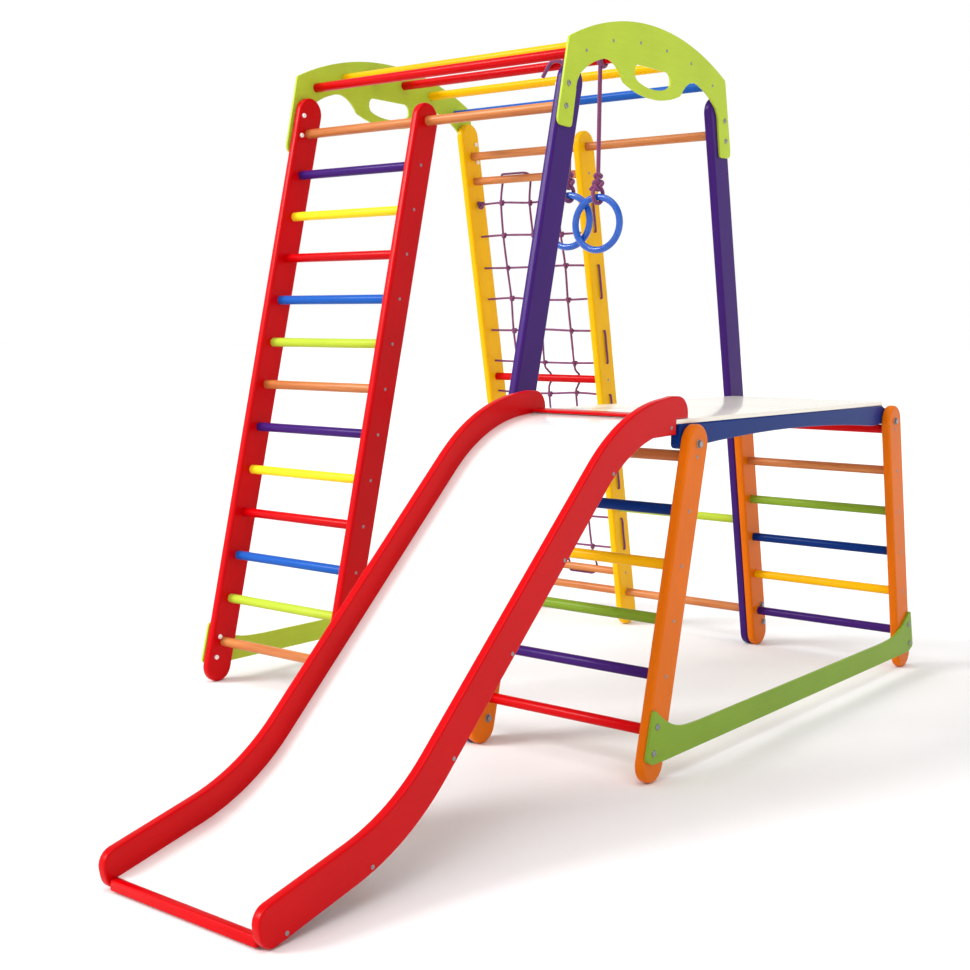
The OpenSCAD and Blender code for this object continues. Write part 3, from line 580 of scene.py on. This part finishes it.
# ---- timber: every edge rounded ----
def pushed(outline, d):
    """The outline moved away from the board by d: each corner goes along the sum of its two sides' normals,
    stretched so that both sides move by d."""
    side = np.roll(outline, -1, axis=0) - outline
    normal = -unit(np.stack([side[:, 1], -side[:, 0]], 1))
    before = np.roll(normal, 1, axis=0)
    stretch = np.maximum(1 + np.sum(normal * before, axis=1, keepdims=True), 0.4)
    return outline + d * (normal + before) / stretch


def board(node, radius, starts_in=True):
    """A board from its face's outline: rings of points follow the outline from the low-x face to the high-x
    face, and near each face they go round a quarter circle of `radius`. starts_in says that the outline is
    the board's full one, which the rounding cuts into. Otherwise it is the inner edge of the rounding."""
    low, high = np.array(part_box(node))
    r = radius * MM
    t = np.linspace(0, math.pi / 2, 6)
    out = r * np.sin(t) - (r if starts_in else 0)
    deep = r * (1 - np.cos(t))
    outs, xs = np.concatenate([out, out[::-1]]), np.concatenate([low[0] + deep, (high[0] - deep)[::-1]])
    points, faces, smooth, first_rings, last_rings, base = [], [], [], [], [], 0
    for outline in face_outlines(node):
        n = len(outline)
        rows = [np.column_stack([np.full(n, x), pushed(outline, d)]) for x, d in zip(xs, outs)]
        quads = grid_faces(len(rows), n, base)[:, ::-1].tolist()
        points += rows
        faces += quads
        smooth += [True] * len(quads)
        first_rings.append(np.arange(n) + base)
        last_rings.append(np.arange(n) + base + (len(rows) - 1) * n)
        base += n * len(rows)
    cloud = np.vstack(points)
    cloud[:, 2] = np.maximum(cloud[:, 2], 0)
    for rings, facing in ((first_rings, -1), (last_rings, 1)):
        order = np.concatenate(rings)
        for triangle in tessellate_polygon([[Vector(cloud[k]) for k in ring] for ring in rings]):
            a, b, c = order[list(triangle)]
            turn = np.cross(cloud[b] - cloud[a], cloud[c] - cloud[a])[0]
            faces.append([a, b, c] if turn * facing > 0 else [a, c, b])
            smooth.append(False)
    piece = mesh_piece(f"{node}_board", cloud, [[int(k) for k in face] for face in faces], smooth=smooth)
    stands_for(piece, node)


def rods(node, ease=1.2):
    """Turned rods along X, one for each solid of the node: a circle carried from end to end, drawn in by a
    quarter circle of `ease` at both ends."""
    count = 40
    a = np.linspace(0, 2 * math.pi, count, endpoint=False)
    t = np.linspace(0, math.pi / 2, 4)
    points, faces, base = [], [], 0
    for group in solids(node):
        low, high = group.min(0), group.max(0)
        middle, r = (low + high) / 2, (high[2] - low[2]) / 2
        deep, less = ease * MM * (1 - np.sin(t)), ease * MM * (1 - np.cos(t))
        xs = np.concatenate([(low[0] + deep)[::-1], high[0] - deep])
        rs = np.concatenate([(r - less)[::-1], r - less])
        rows = len(xs)
        grid = np.stack([np.broadcast_to(xs[:, None], (rows, count)), middle[1] + rs[:, None] * np.cos(a),
                         middle[2] + rs[:, None] * np.sin(a)], -1).reshape(-1, 3)
        points += [grid, [[low[0], *middle[1:]], [high[0], *middle[1:]]]]
        faces += grid_faces(rows, count, base)[:, ::-1].tolist()
        j = np.arange(count)
        k = (j + 1) % count
        end = base + (rows - 1) * count
        faces += np.stack([np.full(count, base + len(grid)), k + base, j + base], 1).tolist()
        faces += np.stack([np.full(count, base + len(grid) + 1), j + end, k + end], 1).tolist()
        base += len(grid) + 2
    stands_for(mesh_piece(f"{node}_turned", np.vstack(points), faces), node)


def eased(node, width):
    """The node's solid with its flat faces made whole and every edge sharper than 38 degrees rounded over by
    `width` millimetres."""
    shape = merged(node)
    bmesh.ops.dissolve_limit(shape, angle_limit=math.radians(0.4), verts=shape.verts, edges=shape.edges)
    mesh = bpy.data.meshes.new(f"{node}_eased")
    shape.to_mesh(mesh)
    shape.free()
    mesh.polygons.foreach_set("use_smooth", np.full(len(mesh.polygons), True))
    piece = bpy.data.objects.new(f"{node}_eased", mesh)
    bpy.context.scene.collection.objects.link(piece)
    edge = piece.modifiers.new("eased_edges", "BEVEL")
    edge.width, edge.segments, edge.limit_method = width * MM, 3, "ANGLE"
    edge.angle_limit, edge.harden_normals = math.radians(38), True
    stands_for(piece, node)


BOARDS = {"arch_panel": 1.4, "stretcher": 1.4, "cheek": 3.2, "apron": 3.0}
RODS = ("rung_n", "rungs_", "_rung", "_rail", "arch_bars")
EASED = {"platform": 2.0, "landing": 1.6, "foot_board": 3.0, "slide_bed": 0.6, "hex_bolts": 0.5}
for node, shown in frame["nodes"].items():
    if "post" in node:
        board(node, 6, starts_in=False)
    elif any(word in node for word in BOARDS):
        board(node, next(w for word, w in BOARDS.items() if word in node))
    elif any(word in node for word in EASED):
        eased(node, next(w for word, w in EASED.items() if word in node))
    elif any(word in node for word in RODS) and "screw" not in node:
        rods(node)
    elif node == "slide_slats":
        dress(shown, node)


# ---- rings ----
def ring_piece(name, x, y, top):
    """A moulded ring: a circle of RING_TUBE_R carried round a circle of RING_R, its inner side a little
    flattened as a mould leaves it."""
    long, short = 144, 36
    u, v = np.meshgrid(np.linspace(0, 2 * math.pi, long, endpoint=False),
                       np.linspace(0, 2 * math.pi, short, endpoint=False), indexing="ij")
    r = RING_R + RING_TUBE_R * np.cos(v) * np.where(np.cos(v) < 0, 0.97, 1)
    points = np.stack([x + r * np.cos(u), y - RING_TUBE_R * np.sin(v), top - RING_R + r * np.sin(u)], -1)
    i, j = np.meshgrid(np.arange(long), np.arange(short), indexing="ij")
    k, m = (i + 1) % long, (j + 1) % short
    quads = np.stack([i * short + j, k * short + j, k * short + m, i * short + m], -1).reshape(-1, 4)
    piece = mesh_piece(f"ring_{name}_moulded", points.reshape(-1, 3) * MM + DRAWING, quads.tolist())
    stands_for(piece, f"ring_{name}")


for name, place in RINGS.items():
    ring_piece(name, *place)


# ---- hitches of the ring ropes round their roof bar ----
def hitches():
    """Two turns of rope round the bar, side by side, with a leg that comes down to where the rope hangs.
    The rear one ends in a short tail that bends down in front of the bar."""
    paths = []
    bar_y, bar_z = HITCH_BAR
    around = BAR_R + 0.2 + ROPE_R
    for x, y, _ in RINGS.values():
        t = np.linspace(0, 1, 100)
        a = 2 * math.pi * HITCH_TURNS * t - math.pi / 2
        side = 1 if y < bar_y else -1
        coil = [x + 5.4 - 10.8 * t, bar_y - side * around * np.cos(a), bar_z + around * np.sin(a)]
        paths.append(np.stack(coil, 1))
        leg = [[x, y + 2 * side, HINGE_Z + 9], [x, y + side * 0.5, HINGE_Z + 5], [x, y, HINGE_Z + 0.4]]
        paths.append(smooth_path(leg, 6))
    tail = [[489, 56, 1419], [483, 52, 1424], [474, 50, 1427], [464, 51, 1427], [455, 53, 1423],
            [447, 54, 1414], [438, 56, 1403], [431, 57, 1394]]
    paths.append(smooth_path(tail, 8))
    return rope_tubes("hitches", [path * MM + DRAWING for path in paths], ROPE_R * 0.97)


stands_for(hitches(), "rope_hitches")


# ---- the net ----
def on_net(x, s, out=0.0):
    """A point on the net's leaning plane: x across, s up the post, `out` towards the frame's back."""
    y = REAR_FOOT[0] - s * math.sin(REAR_LEAN) + out * math.cos(REAR_LEAN)
    z = REAR_FOOT[1] + s * math.cos(REAR_LEAN) + out * math.sin(REAR_LEAN)
    return [x, y, z]


chance = np.random.default_rng(7)
# how far each crossing strays across and up or down, row by row and strand by strand
stray = chance.uniform(-3.4, 3.4, (ROWS, len(STRANDS), 2))


def crossing(i, j):
    """Where strand j crosses row i."""
    return STRANDS[j] + stray[i, j, 0], FIRST_ROW - ROW_GAP * i + stray[i, j, 1]


def net_row_path():
    """One rope laced to and fro: along a row through its crossings, into the post's hole, down the post's
    outer face, in again and back along the next row."""
    points = []
    for i in range(ROWS):
        s = FIRST_ROW - ROW_GAP * i
        inside = [on_net(*crossing(i, j)) for j in range(len(STRANDS))]
        left, right = on_net(ROW_ENDS[0] + 4, s), on_net(ROW_ENDS[1] - 4, s)
        near = [on_net(10, s), *inside, on_net(356, s)]
        row = [left, *near, right] if i % 2 == 0 else [right, *near[::-1], left]
        points += row[1:] if i == 0 else row
        if i < ROWS - 1:
            x = ROW_ENDS[1] if i % 2 == 0 else ROW_ENDS[0]
            points += [on_net(x, s - 5), on_net(x, s - ROW_GAP / 2), on_net(x, s - ROW_GAP + 5)]
    return smooth_path(points, 6)


def strand_paths():
    """The upright strands, all one rope: up the first, along the top rung, down the second, along under the
    bottom rung and up the third. Each passes behind the rungs and in front of the rows."""
    off = RUNG_R + NET_R + 0.3
    front = -2 * NET_R - 0.2

    def inside(j):
        """Strand j's way down: through its crossings, and behind the red rung between two of them."""
        places = [on_net(*crossing(i, j), front) for i in range(ROWS)]
        above = sum(FIRST_ROW - ROW_GAP * i > NET_RED for i in range(ROWS))
        past = [on_net(STRANDS[j], NET_RED + up, out) for up, out in ((22, 1), (9, off), (-9, off), (-22, 1))]
        return places[:above] + past + places[above:]

    def round_rung(j, s, up, way):
        """Strand j's way from behind a rung to its top (up = 1) or underside (up = -1), then across."""
        x = STRANDS[j]
        return [on_net(x, s - 14 * up, off - 4), on_net(x + way, s, off),
                on_net(x + 3 * way, s + 9 * up, off * 0.6), on_net(x + 10 * way, s + off * up),
                on_net(x + 28 * way, s + (off + 0.5) * up)]

    start = [on_net(STRANDS[0], NET_LOW + 2, off), on_net(STRANDS[0], NET_LOW + 16, off - 4)]
    finish = [on_net(STRANDS[2], NET_TOP - 14, off - 4), on_net(STRANDS[2], NET_TOP + 2, off)]
    route = [*start, *inside(0)[::-1], *round_rung(0, NET_TOP, 1, 1), *round_rung(1, NET_TOP, 1, -1)[::-1],
             *inside(1), *round_rung(1, NET_LOW, -1, 1), *round_rung(2, NET_LOW, -1, -1)[::-1],
             *inside(2)[::-1], *finish]
    return [smooth_path(route, 6)]


def net_knot_paths():
    """A tight knot at each crossing, and a stopper on the top row's free end."""
    paths = []
    for i in range(ROWS):
        for j in range(len(STRANDS)):
            x, s = crossing(i, j)
            paths.append(overhand(on_net(x, s, -NET_R), 2.1, chance.uniform(0, math.pi), 30))
    paths.append(overhand(on_net(20, FIRST_ROW), 3.2, 0.4, 40))
    return paths


def net_piece(name, paths, node, sides):
    """One of the net's pieces, which stands for its node."""
    stands_for(rope_tubes(name, [path * MM + DRAWING for path in paths], NET_R, sides), node)


net_piece("net_lacing", [net_row_path()], "net_rows", 10)
net_piece("net_uprights", strand_paths(), "net_strands", 10)
net_piece("net_knotted", net_knot_paths(), "net_knots", 8)


# ---- turned metal and plastic heads ----
def heads(name, rings, places):
    """Turned pieces along X: each (radius, height, lobes, depth) ring stands at its height from the face, its
    radius r * (1 - depth * (1 + cos(lobes * angle)) / 2), and the first and last close in a point.
    places holds (x, y, z, side), where side is the way the head points along X."""
    count = 24
    a = np.linspace(0, 2 * math.pi, count, endpoint=False)
    rows = []
    for radius, height, lobes, depth in rings:
        r = radius * (1 - depth * (1 + np.cos(lobes * a)) / 2)
        rows.append(np.stack([np.full(count, float(height)), r * np.cos(a), r * np.sin(a)], 1))
    one = np.vstack([*rows, [[rings[0][1], 0, 0], [rings[-1][1], 0, 0]]])
    quads = grid_faces(len(rings), count)[:, ::-1]
    j = np.arange(count)
    k = (j + 1) % count
    first, last = len(one) - 2, len(one) - 1
    base = (len(rings) - 1) * count
    caps = np.vstack([np.stack([np.full(count, first), j, k], 1),
                      np.stack([np.full(count, last), base + k, base + j], 1)])
    points, faces = [], []
    for n, (x, y, z, side) in enumerate(places):
        turned = one * [side, side, 1]
        points.append(turned + [x, y, z])
        faces += (quads + n * len(one)).tolist() + (caps + n * len(one)).tolist()
    return mesh_piece(name, np.vstack(points) * MM + DRAWING, faces)


def mirrored(pairs, middle):
    """The same places on both sides of a middle."""
    return [(middle + side * y, z) for side in (-1, 1) for y, z in pairs]


# the heads' profiles, in millimetres: radius, height, number of lobes and their depth
DOME = [(5.8, -0.2, 0, 0), (6.0, 0.3, 0, 0), (5.9, 1.0, 0, 0), (5.3, 2.1, 0, 0), (4.2, 3.0, 0, 0),
        (3.0, 3.45, 0, 0), (2.3, 3.5, 6, 0.13), (2.2, 3.3, 6, 0.13), (2.2, 1.4, 6, 0.13)]
CAP = [(5.4, 0, 0, 0), (5.4, 2.6, 0, 0), (5.1, 3.6, 0, 0), (4.4, 4.5, 0, 0), (3.2, 5.0, 0, 0),
       (1.2, 5.0, 0, 0)]
SCREW = [(3.5, -0.1, 0, 0), (3.6, 0.3, 0, 0), (3.2, 0.7, 0, 0), (2.2, 0.85, 0, 0), (2.1, 0.85, 4, 0.62),
         (1.9, 0.2, 4, 0.62)]
WASHER = [(8.6, -0.1, 0, 0), (8.6, 0.9, 0, 0), (8.2, 1.3, 0, 0), (5.0, 1.3, 0, 0)]
# from a hex bolt's two ends to the faces that its nut and its head press on
NUT_SEAT, HEAD_SEAT = 9, 5
arch = mirrored(ARCH_BOLTS, ARCH_Y)
stretch = mirrored(STRETCH_BOLTS, 0)
domes = [(ARCH_X[0], y, z, -1) for y, z in arch + stretch]
domes += [(ARCH_X[1], y, z, 1) for y, z in arch] + [(STRETCH_X[1], y, z, 1) for y, z in stretch]
stands_for(heads("bolt_heads", DOME, domes), "panel_bolts")
caps = [(CAP_X[0], y, z, 1) for y, z in arch + stretch]
caps += [(CAP_X[1], y, z, -1) for y, z in arch] + [(CAP_X[2], y, z, -1) for y, z in stretch]
stands_for(heads("nut_caps", CAP, caps), "bolt_caps")


def screw_places(node):
    """Where the node's screws stand: the middle of each head's face, and the way it faces along X."""
    places = []
    for p in solids(node):
        low, high = p.min(0), p.max(0)
        head_low = np.ptp(p[p[:, 0] < low[0] + 0.002], axis=0)[1] > 0.0055
        x = low[0] + 0.0008 if head_low else high[0] - 0.0008
        middle = (np.array([x, (low[1] + high[1]) / 2, (low[2] + high[2]) / 2]) - DRAWING) / MM
        places.append((*middle, -1 if head_low else 1))
    return places


for node in ("rung_screws", "slide_screws"):
    stands_for(heads(f"{node}_heads", SCREW, screw_places(node)), node)


def washer_places():
    """Where the hex bolts' washers lie: one under each head and one under each nut."""
    places = []
    for p in solids("hex_bolts"):
        low, high = (p.min(0) - DRAWING) / MM, (p.max(0) - DRAWING) / MM
        y, z = (low[1:] + high[1:]) / 2
        places += [(low[0] + NUT_SEAT, y, z, -1), (high[0] - HEAD_SEAT, y, z, 1)]
    return places


washers = heads("hex_washers", WASHER, washer_places())
dress(washers, "hex_bolts")
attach(washers, "frame")


# ---- floor and light ----
SKY = 0.46  # how bright the sky is overhead, where the horizon is 1


def sun(name, heading, height, power, spread):
    """A broad soft light from a compass heading (0 is the front, positive to the right) and a height."""
    data = bpy.data.lights.new(name, "SUN")
    data.energy, data.angle = power, math.radians(spread)
    lamp = bpy.data.objects.new(name, data)
    bpy.context.scene.collection.objects.link(lamp)
    a, e = math.radians(heading), math.radians(height)
    back = np.array([math.sin(a) * math.cos(e), -math.cos(a) * math.cos(e), math.sin(e)])
    side = unit(np.cross((0, 0, 1), back))
    turn = np.eye(4)
    turn[:3, 0], turn[:3, 1], turn[:3, 2] = side, np.cross(back, side), back
    lamp.matrix_world = Matrix(turn.tolist())


def set_stage():
    """A pale floor under a pale sky that is brightest in a band round the horizon, a soft key light from the
    front left and a soft light from above."""
    material, nodes, links, shader = blank("studio_paper")
    place = nodes.new("ShaderNodeTexCoord").outputs["Object"]
    fine = pattern(nodes, links, "ShaderNodeTexNoise", place, 3, Detail=2)
    tone = ramp(nodes, links, fine.outputs["Fac"], [(0.3, (0.9, 0.9, 0.9, 1)), (0.7, (0.92, 0.92, 0.92, 1))])
    links.new(tone.outputs["Color"], shader.inputs["Base Color"])
    shader.inputs["Roughness"].default_value = 0.9
    shader.inputs["Specular IOR Level"].default_value = 0.1
    bpy.ops.mesh.primitive_plane_add(size=120, location=(0, 0, -0.0005))
    floor = bpy.context.object
    floor.name = "floor"
    floor.data.materials.append(material)
    world = bpy.data.worlds.new("studio")
    bpy.context.scene.world = world
    world.use_nodes = True
    tree = world.node_tree
    toward = tree.nodes.new("ShaderNodeTexCoord").outputs["Generated"]
    split = tree.nodes.new("ShaderNodeSeparateXYZ")
    tree.links.new(toward, split.inputs["Vector"])
    band = ramp(tree.nodes, tree.links, split.outputs["Z"], [(0.34, (1, 1, 1, 1)), (0.6, (SKY, SKY, SKY, 1))])
    tree.links.new(band.outputs["Color"], tree.nodes["Background"].inputs["Color"])
    sun("key", -38, 34, 2.2, 22)
    sun("top", 10, 74, 1.3, 50)
    bpy.context.scene.view_settings.view_transform = "Standard"


set_stage()
